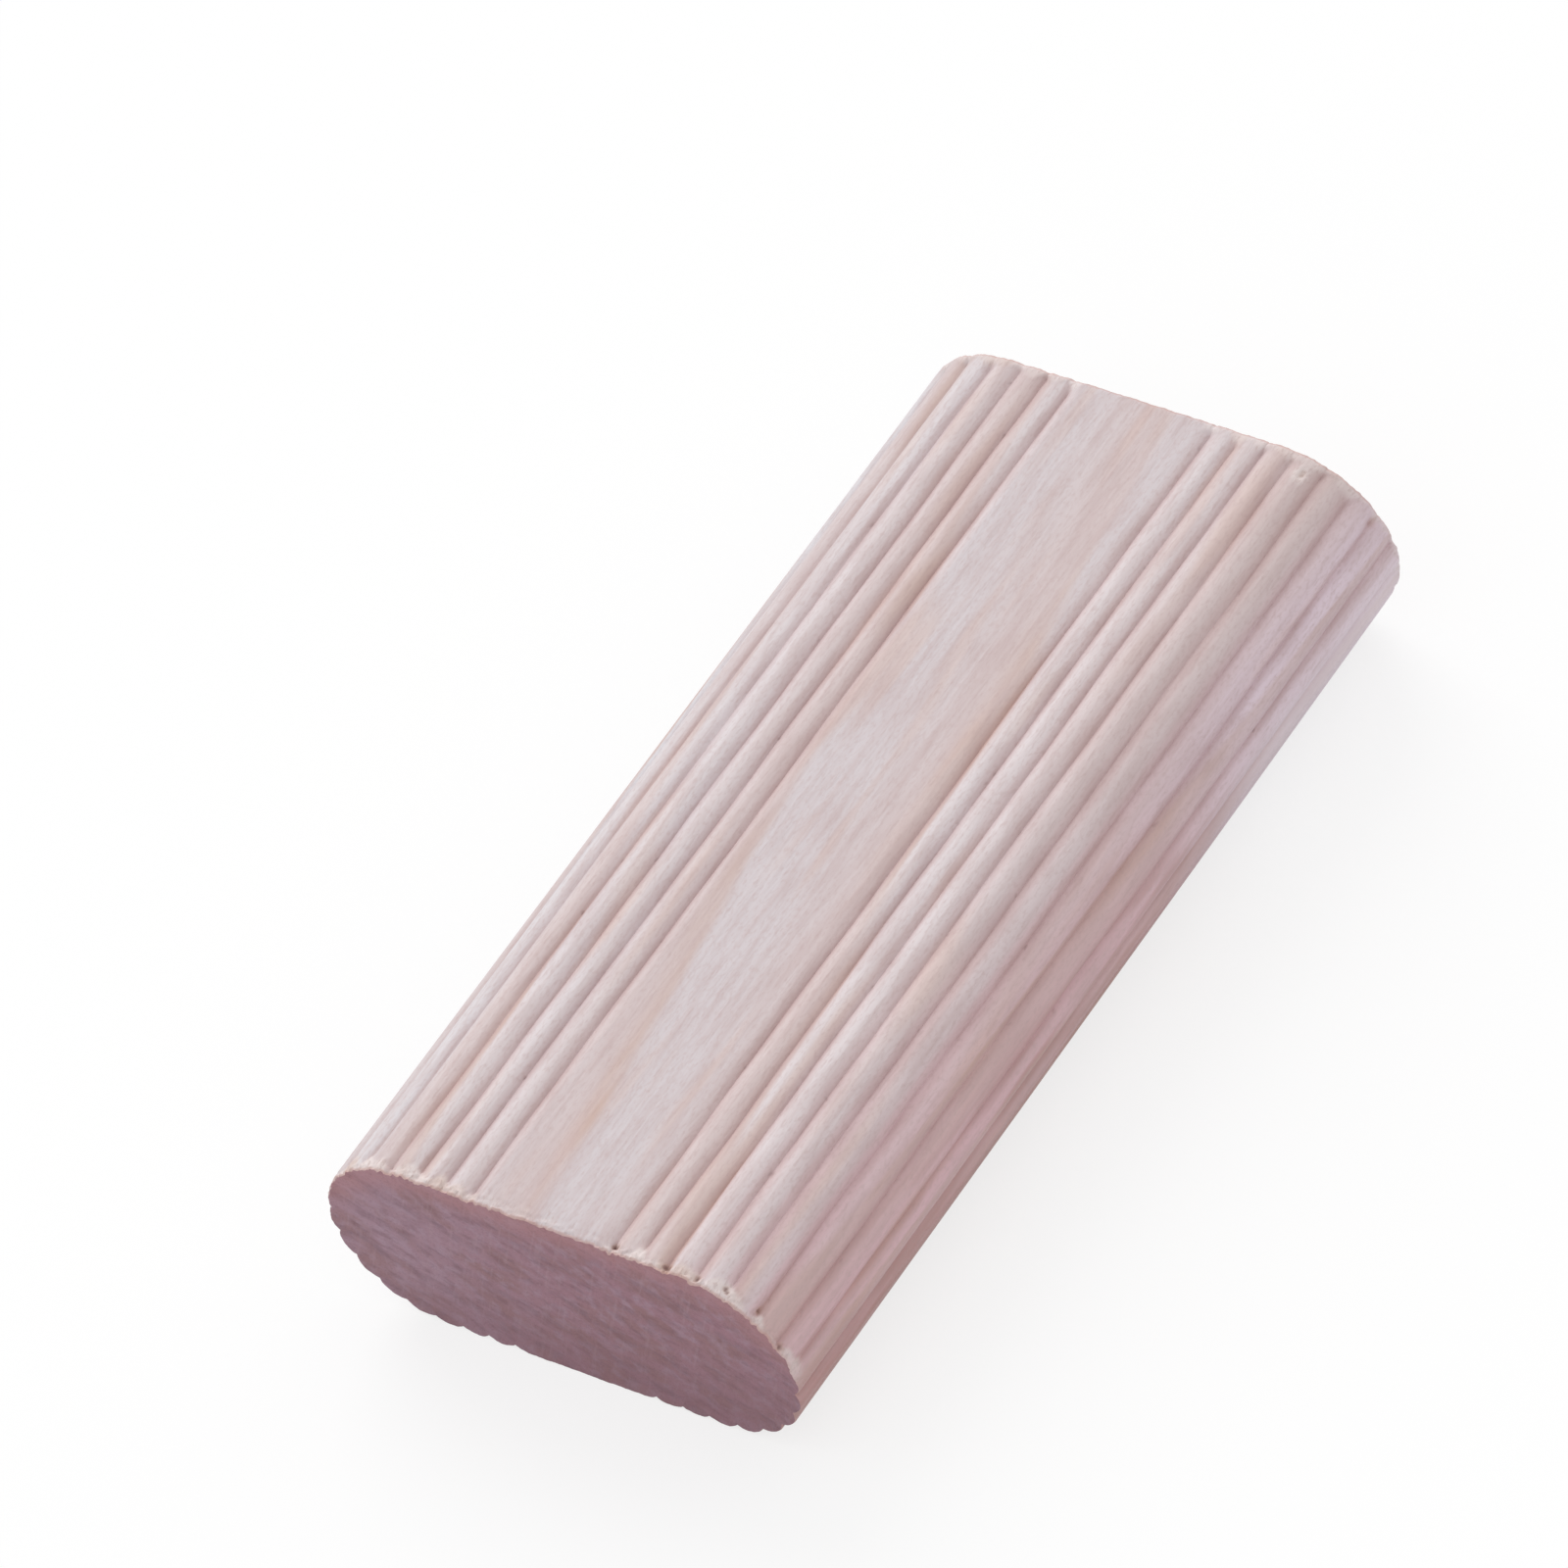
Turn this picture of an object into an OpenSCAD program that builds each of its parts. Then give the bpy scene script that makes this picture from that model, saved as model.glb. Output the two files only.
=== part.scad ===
// Flat fluted dowel pin: a bar of wood with half-round sides, laid on one of its wide faces.
// Beads with sharp grooves between them run the whole length. They cover both sides and the
// borders of the wide faces, and leave a plain band down the middle of each wide face.
// Millimetres, +Z up, length along Y, origin under the middle of the face the pin lies on.

/* [Pin] */
// Length from end to end
pin_l = 50; // [30:1:140]
// Width across the two half-round sides
pin_w = 24; // [20:0.5:36]
// Thickness between the two wide faces
pin_t = 10; // [8:0.5:12]

/* [Flutes] */
// Plain width of each wide face, between the crowns of the beads that edge it
band_w = 5.9; // [4:0.1:7]
// Spacing aimed at for the beads of the wide faces, fitted to whole steps
flat_pitch = 1.35; // [1:0.05:2]
// Spacing aimed at for the beads round the sides, fitted to whole steps
side_pitch = 1.57; // [1.2:0.01:2.2]
// Depth of the grooves below the crowns of the beads
groove_depth = 0.25; // [0.2:0.05:0.5]

/* [Ends] */
// Width of the broken edge round each end
end_chamfer = 0.1; // [0.05:0.05:0.6]

/* [Hidden] */
$fn = 64;

// Half-round sides: their radius, and how far their centres lie from the middle of the pin
side_r = pin_t / 2;
flat_half = pin_w / 2 - side_r;

// Whole steps of beads from the edge of the plain band to the start of the half-round side
flat_run = flat_half - band_w / 2;
flat_steps = max(1, round(flat_run / flat_pitch));
flat_step = flat_run / flat_steps;

// Whole steps of beads round one side, with a bead at each end of the half circle
side_steps = max(2, round(PI * side_r / side_pitch));
side_step_a = 180 / side_steps;

// Bead radii that bring two neighbours together at the bottom of their groove
flat_bead_r = (pow(flat_step / 2, 2) + pow(groove_depth, 2)) / (2 * groove_depth);
groove_r = side_r - groove_depth;
groove_chord = groove_r * cos(side_step_a / 2);
side_bead_r = (pow(side_r, 2) + pow(groove_r, 2) - 2 * side_r * groove_chord) / (2 * (side_r - groove_chord));

// The core lies deeper than the grooves and reaches the middles of the beads
core_inset = min(flat_bead_r, side_bead_r);

// How far the bar runs past its ends and the chamfers past its skin, before the one trims the other
trim_over = groove_depth;

// Outline with straight long sides and half-round ends, w across and t thick
module obround(w, t) {
    square([w - t, t], center = true);
    for (side = [-1, 1])
        translate([side * (w - t) / 2, 0])
            circle(d = t);
}

// Beads of both wide faces, from the edge of the plain band outwards
module flat_beads() {
    for (side = [-1, 1], face = [-1, 1], step = [0 : flat_steps - 1])
        translate([side * (band_w / 2 + step * flat_step), face * (side_r - flat_bead_r)])
            circle(r = flat_bead_r);
}

// Beads round both half-round sides, from one wide face to the other
module side_beads() {
    for (side = [-1, 1], step = [0 : side_steps])
        translate([side * flat_half, 0])
            rotate(side * (90 - step * side_step_a))
                translate([side * (side_r - side_bead_r), 0])
                    circle(r = side_bead_r);
}

// Cross-section of the pin: core, plain bands and beads
module pin_section() {
    obround(pin_w - 2 * core_inset, pin_t - 2 * core_inset);
    square([band_w, pin_t], center = true);
    flat_beads();
    side_beads();
}

// Half profile of the end trim, from the middle out to past the skin, standing on its length
module trim_profile() {
    end = pin_l / 2;
    shoulder = side_r - end_chamfer;
    outer = side_r + trim_over;
    slope = end_chamfer + trim_over;
    polygon([
        [0, -end],
        [shoulder, -end],
        [outer, slope - end],
        [outer, end - slope],
        [shoulder, end],
        [0, end]
    ]);
}

// Flat-sided, round-edged block whose square ends and slopes trim the fluted bar
module end_trim() {
    rotate([90, 0, 90])
        linear_extrude(height = 2 * flat_half, center = true) {
            trim_profile();
            mirror([1, 0]) trim_profile();
        }
    for (side = [-1, 1])
        translate([side * flat_half, 0, 0])
            rotate([0, 0, -90 * side])
                rotate_extrude(angle = 180)
                    trim_profile();
}

// The whole pin, one piece of wood
module flat_dowel() {
    color("#d2c3c1")
        translate([0, 0, side_r])
            rotate([90, 0, 0])
                intersection() {
                    linear_extrude(height = pin_l + 2 * trim_over, center = true)
                        pin_section();
                    end_trim();
                }
}

flat_dowel();
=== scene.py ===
"""Flat fluted dowel pin of beech, lying on a pale floor under soft studio light.

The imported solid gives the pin's place and outer sizes. Its skin is built again here with the same beads and
grooves, on a mesh fine enough for uneven flutes and for the torn fibre round the sawn ends.
"""
import logging
import math
import random
from dataclasses import dataclass, field
from enum import Enum
from functools import cached_property
from typing import Any

import bmesh
import bpy
from bmesh.types import BMesh, BMLayerItem, BMVert
from bpy.types import Material, Node, NodeSocket, NodeTree
from mathutils import Matrix, Vector, noise


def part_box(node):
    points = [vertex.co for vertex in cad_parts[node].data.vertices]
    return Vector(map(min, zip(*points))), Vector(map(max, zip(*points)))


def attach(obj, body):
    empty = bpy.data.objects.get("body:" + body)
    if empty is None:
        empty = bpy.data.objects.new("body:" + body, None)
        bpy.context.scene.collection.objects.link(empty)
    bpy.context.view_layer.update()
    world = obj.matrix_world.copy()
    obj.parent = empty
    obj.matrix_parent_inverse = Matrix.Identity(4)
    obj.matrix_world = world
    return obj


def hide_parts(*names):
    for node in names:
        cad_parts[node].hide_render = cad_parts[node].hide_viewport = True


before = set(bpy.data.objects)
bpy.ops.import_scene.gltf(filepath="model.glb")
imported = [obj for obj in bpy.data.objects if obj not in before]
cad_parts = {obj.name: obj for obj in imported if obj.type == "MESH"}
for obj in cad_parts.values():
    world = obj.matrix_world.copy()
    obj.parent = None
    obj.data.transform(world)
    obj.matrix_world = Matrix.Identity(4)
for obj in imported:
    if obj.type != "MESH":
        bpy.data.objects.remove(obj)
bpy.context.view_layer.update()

LOG = logging.getLogger("flat_dowel")

MM = 0.001
PIN_NODE = "flat_dowel"

# Numbered sockets of the colour form of Blender's Mix node
MIX_FACTOR, MIX_A, MIX_B, MIX_RESULT = 0, 6, 7, 2


class PinEnd(Enum):
    """The two sawn ends, by the way that each one faces along the pin."""

    NEAR = -1
    FAR = 1


class Skin(Enum):
    """The two kinds of surface on the pin, by material number."""

    FLUTED = 0
    SAWN = 1


class Mark(Enum):
    """What the mesh tells the finishes about each of its points, by attribute name."""

    GROOVE = "groove"
    TORN = "torn"
    BURR = "burr"
    RIM = "rim"
    PLAIN = "plain"


class Lane(Enum):
    """Stretches of the smooth random field that don't repeat one another: the step from one end or bead to
    the next, and the height of the stretch."""

    CLOSING = (5.3, 6.0)
    LOOSE = (0.0, 3.0)
    EDGE = (2.7, 4.0)
    WAVE = (7.1, 2.0)
    NICK = (3.3, 8.0)
    PIT = (0.0, 1.7)
    CROWN = (3.7, 0.0)
    GROOVE = (5.1, 9.0)
    DRIFT = (0.0, 4.4)

    @property
    def step(self) -> float:
        """Distance in the field from one end or bead to the next."""
        return self.value[0]

    @property
    def height(self) -> float:
        """Height of the stretch in the field."""
        return self.value[1]


def linear(code: str) -> tuple[float, float, float, float]:
    """Turns an sRGB colour into the linear one that the shaders take.

    Args:
        code: The colour as hex, such as "#d2c3c1".

    Returns:
        Linear red, green, blue and a full alpha.
    """
    full_byte, knee, toe_slope, offset, power = 255, 0.04045, 12.92, 0.055, 2.4
    parts = [part / full_byte for part in bytes.fromhex(code.lstrip("#"))]
    low = [c / toe_slope if c <= knee else ((c + offset) / (1 + offset)) ** power for c in parts]
    return (*low, 1.0)


def smooth_step(low: float, high: float, value: float) -> float:
    """Rises softly from 0 to 1.

    Args:
        low: Where the rise starts.
        high: Where it ends.
        value: The place asked for.

    Returns:
        The share of the rise at that place.
    """
    share = max(0.0, min(1.0, (value - low) / (high - low)))
    return share * share * (3 - 2 * share)


def wander(*place: float) -> float:
    """Smooth random value from 0 to 1 at a place of three numbers, the same on every run."""
    return (1.0 + noise.noise(Vector(place))) / 2


def add_node(tree: NodeTree, kind: str, inputs: dict[str | int, Any] | None = None, **settings: Any) -> Node:
    """Adds one node with its settings, values and links.

    Args:
        tree: The node tree that takes the node.
        kind: Blender's type name of the node, without the ShaderNode that they all start with.
        inputs: A value to set, or a socket to link from, by the input's name or number.
        settings: Properties of the node by name.

    Returns:
        The new node.
    """
    node = tree.nodes.new(f"ShaderNode{kind}")
    for name, value in settings.items():
        setattr(node, name, value)
    for key, value in (inputs or {}).items():
        if isinstance(value, NodeSocket):
            tree.links.new(value, node.inputs[key])
        else:
            node.inputs[key].default_value = value
    return node


def blank_material(name: str) -> tuple[Material, NodeTree]:
    """Makes an empty node material.

    Args:
        name: The material's name.

    Returns:
        The material and its cleared node tree.
    """
    material = bpy.data.materials.new(name)
    material.use_nodes = True
    material.node_tree.nodes.clear()
    return material, material.node_tree


@dataclass(frozen=True)
class Bead:
    """One round of the cross-section, by its centre and radius."""

    x: float
    z: float
    radius: float

    def at(self, angle: float) -> tuple[float, float]:
        """Point of the bead's circle at an angle from +X towards +Z."""
        return self.x + self.radius * math.cos(angle), self.z + self.radius * math.sin(angle)

    def angle_of(self, point: tuple[float, float]) -> float:
        """Angle of a point seen from the bead's centre."""
        return math.atan2(point[1] - self.z, point[0] - self.x)

    def groove_to(self, other: "Bead") -> tuple[float, float]:
        """Bottom of the groove between this bead and the next one clockwise.

        Args:
            other: The next bead.

        Returns:
            The outer point where the two circles cross.
        """
        gap = math.hypot(other.x - self.x, other.z - self.z)
        along = ((other.x - self.x) / gap, (other.z - self.z) / gap)
        foot = (gap ** 2 + self.radius ** 2 - other.radius ** 2) / (2 * gap)
        rise = math.sqrt(self.radius ** 2 - foot ** 2)
        return (
            self.x + along[0] * foot - along[1] * rise,
            self.z + along[1] * foot + along[0] * rise,
        )


@dataclass(frozen=True)
class SkinPoint:
    """A point of the cross-section's outline: the way straight out from the section's middle line, how far
    along the outline it lies, how deep below the crowns, and the number of its bead."""

    x: float
    z: float
    out: tuple[float, float]
    along: float
    depth: float
    bead: int


@dataclass
class FluteSection:
    """Cross-section of the pin: plain bands, and beads that meet in sharp grooves."""

    width: float
    thickness: float
    band_width: float = 5.9 * MM
    flat_pitch: float = 1.35 * MM
    side_pitch: float = 1.57 * MM
    groove_depth: float = 0.25 * MM
    plain_fade: float = 0.5 * MM
    band_cells: int = 36
    bead_cells: int = 18

    def __post_init__(self) -> None:
        """Works out the beads' spacing and radii from the driving sizes."""
        self.side_radius = self.thickness / 2
        self.flat_half = self.width / 2 - self.side_radius
        flat_run = self.flat_half - self.band_width / 2
        self.flat_steps = max(1, round(flat_run / self.flat_pitch))
        self.flat_step = flat_run / self.flat_steps
        self.side_steps = max(2, round(math.pi * self.side_radius / self.side_pitch))
        self.side_step = math.pi / self.side_steps
        depth, radius = self.groove_depth, self.side_radius
        self.flat_bead = ((self.flat_step / 2) ** 2 + depth ** 2) / (2 * depth)
        floor = radius - depth
        chord = floor * math.cos(self.side_step / 2)
        self.side_bead = (radius ** 2 + floor ** 2 - 2 * radius * chord) / (2 * (radius - chord))

    def right_beads(self) -> list[Bead]:
        """Lays out the beads of the right half.

        Returns:
            The beads, from the upper band's edge round to the lower band's edge.
        """
        flat_z = self.side_radius - self.flat_bead
        reach = self.side_radius - self.side_bead
        upper = [
            Bead(self.band_width / 2 + step * self.flat_step, flat_z, self.flat_bead)
            for step in range(self.flat_steps)
        ]
        turns = [math.pi / 2 - step * self.side_step for step in range(self.side_steps + 1)]
        side = [
            Bead(self.flat_half + reach * math.cos(turn), reach * math.sin(turn), self.side_bead)
            for turn in turns
        ]
        lower = [Bead(bead.x, -bead.z, bead.radius) for bead in reversed(upper)]
        return upper + side + lower

    def spine(self, x: float) -> float:
        """Place across the pin of the nearest point on the section's middle line."""
        return max(-self.flat_half, min(self.flat_half, x))

    def plainness(self, point: SkinPoint) -> float:
        """Share of plain, planed face at a point: 1 on the bands and 0 past the crowns that edge them."""
        return 1.0 - smooth_step(0.0, self.plain_fade, abs(point.x) - self.band_width / 2)

    def right_half(self) -> list[tuple[float, float, int]]:
        """Walks the upper band and the right side clockwise.

        Returns:
            Place and bead number of each point, up to the lower band's right edge.
        """
        beads = self.right_beads()
        grooves = [bead.groove_to(after) for bead, after in zip(beads, beads[1:])]
        walk = [
            (self.band_width * (cell / self.band_cells - 0.5), self.side_radius, 0)
            for cell in range(self.band_cells)
        ]
        for i, bead in enumerate(beads):
            first = bead.angle_of(grooves[i - 1]) if i else math.pi / 2
            last = bead.angle_of(grooves[i]) if i < len(grooves) else -math.pi / 2
            whole = 0 < i < len(grooves)
            cells = self.bead_cells if whole else self.bead_cells // 2
            for cell in range(cells):
                walk.append((*bead.at(first + (last - first) * cell / cells), i + 1))
        return walk

    def outline(self) -> list[SkinPoint]:
        """Walks the whole outline clockwise from the upper band's left edge.

        Returns:
            The points in order, without a repeat of the first.
        """
        right = self.right_half()
        after = right[-1][2] + 1
        ring = right + [(-x, -z, bead + after) for x, z, bead in right]
        points: list[SkinPoint] = []
        along = -self.band_width / 2
        for i, (x, z, bead) in enumerate(ring):
            if i:
                along += math.hypot(x - ring[i - 1][0], z - ring[i - 1][1])
            across = x - self.spine(x)
            reach = math.hypot(across, z)
            out = (across / reach, z / reach)
            points.append(SkinPoint(x, z, out, along, max(0.0, self.side_radius - reach), bead))
        return points

    def grooves(self) -> list[SkinPoint]:
        """Finds the bottoms of the grooves.

        Returns:
            The lowest point of each groove, in the order of the outline.
        """
        points = self.outline()
        pairs = zip(points[-1:] + points, points)
        return [p for before, p in pairs if p.bead != before.bead and p.depth > self.groove_depth / 2]


@dataclass(frozen=True)
class Pit:
    """A hole of pulled-out fibre, longer with the grain, by its place on the skin, radius, depth and the
    painted shade that darkens it. One with a depth below zero is fibre that stands up."""

    along: float
    inset: float
    radius: float
    depth: float
    stretch: float = 1.5
    # Share of painted shade that darkens the hole
    hole_shade: float = 1.0
    flake: float = 0.0
    uneven: float = 1.3
    uneven_cell: float = 0.13 * MM
    edge: float = 9.0

    def share(self, along: float, inset: float) -> float:
        """Works out how much of the hole is felt at a place on the skin.

        Args:
            along: The place along the section's outline.
            inset: Its distance from the end.

        Returns:
            The share, from 0 to 1.
        """
        across = (along - self.along) / self.radius
        with_grain = (inset - self.inset) / (self.radius * self.stretch)
        far = across ** 2 + with_grain ** 2
        if far > self.edge:
            return 0.0
        bite = wander(along / self.uneven_cell, inset / (self.uneven_cell * self.stretch), Lane.PIT.height)
        return math.exp(-far * (1.0 + self.uneven * (bite - 0.5)))


@dataclass(frozen=True)
class WornPoint:
    """What the saw did at one place: how much of the groove is closed, how far the skin stands out from the
    clean flutes and back from the full length, how much painted shade darkens its holes, and how much pale
    fibre stands there."""

    closing: float = 0.0
    lift: float = 0.0
    back: float = 0.0
    # Painted shade of the holes
    torn: float = 0.0
    flake: float = 0.0


@dataclass
class EndWear:
    """One sawn end. The saw came out through the upper face: there it pushed fibre up, which closes the
    groove ends with burr and leaves small holes behind it, while the lower rim stayed clean."""

    end: PinEnd
    half_length: float
    side_radius: float
    grooves: list[SkinPoint]
    reach: float = 1.6 * MM
    torn_from: float = -0.2
    torn_full: float = 0.4
    close_reach: float = 0.6 * MM
    close_reach_least: float = 0.5
    close_cell: float = 0.8 * MM
    close_drift: tuple[float, float] = (0.25, 0.75)
    close_fade: tuple[float, float] = (0.5, 1.4)
    close_least: float = 0.3
    close_most: float = 0.85
    burr_share: float = 1.0
    edge_break: float = 0.05 * MM
    edge_break_least: float = 0.4
    edge_reach: float = 0.12 * MM
    edge_cell: float = 0.6 * MM
    ragged: float = 0.13 * MM
    ragged_reach: float = 0.7 * MM
    ragged_drift: tuple[float, float] = (0.2, 0.8)
    ragged_clean: float = 0.3
    wave_share: float = 0.55
    nick_share: float = 0.45
    fuzz: float = 0.1 * MM
    fuzz_cell: float = 0.2 * MM
    fuzz_drift: tuple[float, float] = (0.3, 0.7)
    fuzz_reach: float = 1.8
    pit_tries: int = 2
    pit_chance: float = 0.6
    pit_left_share: float = 0.1
    pit_stray: float = 0.25 * MM
    pit_inset: tuple[float, float] = (0.35, 1.3)
    pit_radius: tuple[float, float] = (0.08 * MM, 0.17 * MM)
    pit_depth: tuple[float, float] = (0.06 * MM, 0.15 * MM)
    seed: int = 250
    pits: list[Pit] = field(default_factory=list)

    def __post_init__(self) -> None:
        """Draws the holes behind the closed groove ends, most of them on the right."""
        draw = random.Random(self.seed + self.end.value)
        for point in self.grooves * self.pit_tries:
            chance = self.pit_chance * self.torn_side(point) * (self.pit_left_share if point.x < 0 else 1.0)
            if draw.random() > chance:
                continue
            self.pits.append(Pit(
                along=point.along + draw.uniform(-self.pit_stray, self.pit_stray),
                inset=self.close_reach * draw.uniform(*self.pit_inset),
                radius=draw.uniform(*self.pit_radius),
                depth=draw.uniform(*self.pit_depth),
            ))

    def inset(self, y: float) -> float:
        """Distance of a place along the pin from this end."""
        return self.half_length - self.end.value * y

    def torn_side(self, point: SkinPoint) -> float:
        """Share from 0 on the clean lower rim to 1 where the saw came out."""
        return smooth_step(self.torn_from, self.torn_full, point.z / self.side_radius)

    def along_rim(self, point: SkinPoint, cell: float, lane: Lane) -> float:
        """Smooth random value from 0 to 1 that varies along this end's rim."""
        return wander(point.along / cell, self.end.value * lane.step, lane.height)

    def closing(self, point: SkinPoint, inset: float) -> float:
        """Works out how much of a groove's depth the burr fills.

        Args:
            point: The place on the outline.
            inset: Its distance from the end.

        Returns:
            The share of the depth.
        """
        drift = smooth_step(*self.close_drift, self.along_rim(point, self.close_cell, Lane.CLOSING))
        reach = self.close_reach * (self.close_reach_least + drift)
        fade_from, fade_to = self.close_fade
        fade = 1.0 - smooth_step(reach * fade_from, reach * fade_to, inset)
        most = self.close_least + (self.close_most - self.close_least) * drift
        return self.torn_side(point) * fade * most

    def lost(self, point: SkinPoint, inset: float) -> float:
        """Works out how much skin the loose fibre and the broken edge have lost.

        Args:
            point: The place on the outline.
            inset: Its distance from the end.

        Returns:
            The depth that is missing.
        """
        near = max(0.0, 1.0 - inset / (self.close_reach * self.fuzz_reach))
        loose = wander(point.along / self.fuzz_cell, inset / self.fuzz_cell, Lane.LOOSE.height)
        fuzz = self.fuzz * near * self.torn_side(point) * smooth_step(*self.fuzz_drift, loose)
        chew = self.edge_break_least + self.along_rim(point, self.edge_cell, Lane.EDGE)
        return fuzz + self.edge_break * chew * max(0.0, 1.0 - inset / self.edge_reach) ** 2

    def pull_back(self, point: SkinPoint, inset: float) -> float:
        """Works out how far the ragged rim lies back from the full length: most where the saw came out.

        Args:
            point: The place on the outline.
            inset: Its distance from the end.

        Returns:
            The distance.
        """
        wave = self.along_rim(point, self.edge_cell, Lane.WAVE)
        nick = self.along_rim(point, self.fuzz_cell, Lane.NICK)
        chew = smooth_step(*self.ragged_drift, self.wave_share * wave + self.nick_share * nick)
        share = self.ragged_clean + (1.0 - self.ragged_clean) * self.torn_side(point)
        return self.ragged * share * chew * max(0.0, 1.0 - inset / self.ragged_reach)

    def at(self, point: SkinPoint, inset: float) -> WornPoint:
        """Gathers what the saw did at one place.

        Args:
            point: The place on the outline.
            inset: Its distance from the end.

        Returns:
            The wear there, which is none past the wear's reach.
        """
        if inset >= self.reach:
            return WornPoint()
        closing = self.closing(point, inset)
        felt = [(pit, pit.share(point.along, inset)) for pit in self.pits]
        dug = sum(pit.depth * share for pit, share in felt)
        return WornPoint(
            closing=closing,
            lift=closing * point.depth - self.lost(point, inset) - dug,
            back=self.pull_back(point, inset),
            # The holes' painted shade
            torn=max((pit.hole_shade * share for pit, share in felt), default=0.0),
            flake=max((pit.flake * share for pit, share in felt), default=0.0),
        )


@dataclass
class FarEndWear(EndWear):
    """The far end, where the burr goes further round and hides the holes. One bead lost a chip, with pale
    fibre still standing round it, and one groove is broken out to a notch."""

    torn_from: float = -0.95
    torn_full: float = -0.3
    close_reach: float = 0.5 * MM
    close_least: float = 0.65
    burr_share: float = 0.55
    edge_break: float = 0.1 * MM
    edge_reach: float = 0.25 * MM
    ragged: float = 0.05 * MM
    fuzz: float = 0.03 * MM
    fibre: Pit = Pit(9.0 * MM, 1.08 * MM, radius=0.32 * MM, depth=-0.06 * MM, hole_shade=0.0, flake=1.0)
    chip: Pit = Pit(9.05 * MM, 1.05 * MM, radius=0.15 * MM, depth=0.18 * MM, hole_shade=0.5)
    notch: Pit = Pit(13.15 * MM, 0.5 * MM, radius=0.3 * MM, depth=0.13 * MM, stretch=0.9, hole_shade=0.45)

    def __post_init__(self) -> None:
        """Places the chip and the notch."""
        self.pits += [self.fibre, self.chip, self.notch]


@dataclass
class FlatDowel:
    """The pin: one piece of beech with a fluted skin and two sawn ends."""

    section: FluteSection
    half_length: float
    middle_z: float
    first_ring: float = 0.045 * MM
    ring_growth: float = 1.15
    ring_step: float = 0.6 * MM
    cap_rings: int = 12
    cap_crowding: float = 1.8
    swell: float = 0.01 * MM
    swell_length: float = 6.0 * MM
    groove_swell: float = 0.03 * MM
    groove_swell_middle: float = 0.8
    groove_cell: float = 3.0 * MM
    groove_drift: float = 0.07 * MM
    drift_cell: tuple[float, float] = (1.4 * MM, 5.0 * MM)
    saw_relief: float = 0.03 * MM
    saw_cell: float = 0.8 * MM
    scorch_width: float = 0.24 * MM
    rim_width: float = 0.55 * MM
    # Width of the redder band on the ends: saw scorch, and painted light on their upper part
    rim_flush: float = 2.0 * MM
    rim_from: float = -0.3
    rim_full: float = 0.8
    plain_burr: float = 0.6
    merge: float = 0.00045 * MM
    crease_deg: float = 45.0

    def stations(self) -> list[float]:
        """Places the rings along the pin, crowded towards both ends.

        Returns:
            Their places, from the near end to the far one.
        """
        insets, step = [0.0], self.first_ring
        while step < self.ring_step:
            insets.append(insets[-1] + step)
            step *= self.ring_growth
        middle = 2 * (self.half_length - insets[-1])
        cells = round(middle / self.ring_step)
        inner = [insets[-1] + middle * cell / cells for cell in range(1, cells)]
        outer = [2 * self.half_length - inset for inset in reversed(insets)]
        return [inset - self.half_length for inset in insets + inner + outer]

    def wears(self) -> dict[PinEnd, EndWear]:
        """Wear of both ends."""
        sizes = (self.half_length, self.section.side_radius, self.section.grooves())
        return {PinEnd.NEAR: EndWear(PinEnd.NEAR, *sizes), PinEnd.FAR: FarEndWear(PinEnd.FAR, *sizes)}

    def unevenness(self, point: SkinPoint, y: float) -> float:
        """Works out how far the pressed skin lies off its full form: inside it at the crowns.

        Args:
            point: The place on the outline.
            y: The place along the pin.

        Returns:
            The distance outwards.
        """
        deep = point.depth / self.section.groove_depth
        swell = wander(point.bead * Lane.CROWN.step, y / self.swell_length, Lane.CROWN.height)
        rough = wander(point.bead * Lane.GROOVE.step, y / self.groove_cell, Lane.GROOVE.height)
        return self.swell * (swell - 1.0) + self.groove_swell * deep ** 2 * (rough - self.groove_swell_middle)

    def drift(self, point: SkinPoint, y: float) -> float:
        """Works out how far a groove wanders sideways; the crowns stay.

        Args:
            point: The place on the outline.
            y: The place along the pin.

        Returns:
            The distance clockwise round the section.
        """
        across, along = self.drift_cell
        deep = point.depth / self.section.groove_depth
        sway = 2.0 * wander(point.along / across, y / along, Lane.DRIFT.height) - 1.0
        return self.groove_drift * deep * sway

    def add_ring(
        self,
        form: BMesh,
        layers: dict[Mark, BMLayerItem],
        points: list[SkinPoint],
        wear: EndWear,
        y: float,
    ) -> list[BMVert]:
        """Adds one ring of the skin and marks its points for the finishes.

        Args:
            form: The mesh that takes the ring.
            layers: Where each mark is stored.
            points: The section's outline.
            wear: The wear of the nearer end.
            y: The ring's place along the pin.

        Returns:
            The ring's points, in the order of the outline.
        """
        inset = wear.inset(y)
        scorch = 1.0 - smooth_step(0.0, self.scorch_width, inset)
        ring = []
        for point in points:
            worn, plain = wear.at(point, inset), self.section.plainness(point)
            offset, drift = self.unevenness(point, y) + worn.lift, self.drift(point, y)
            vert = form.verts.new((
                point.x + point.out[0] * offset + point.out[1] * drift,
                y - wear.end.value * worn.back,
                self.middle_z + point.z + point.out[1] * offset - point.out[0] * drift,
            ))
            burr = wear.burr_share * worn.closing * (1.0 - self.plain_burr * plain)
            upper = smooth_step(self.rim_from, self.rim_full, point.z / self.section.side_radius)
            marks = {
                Mark.GROOVE: point.depth / self.section.groove_depth * (1.0 - worn.closing),
                Mark.TORN: worn.torn,
                Mark.BURR: max(burr, worn.flake),
                Mark.RIM: upper * scorch,
                Mark.PLAIN: plain,
            }
            for mark, value in marks.items():
                vert[layers[mark]] = value
            ring.append(vert)
        return ring

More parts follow.
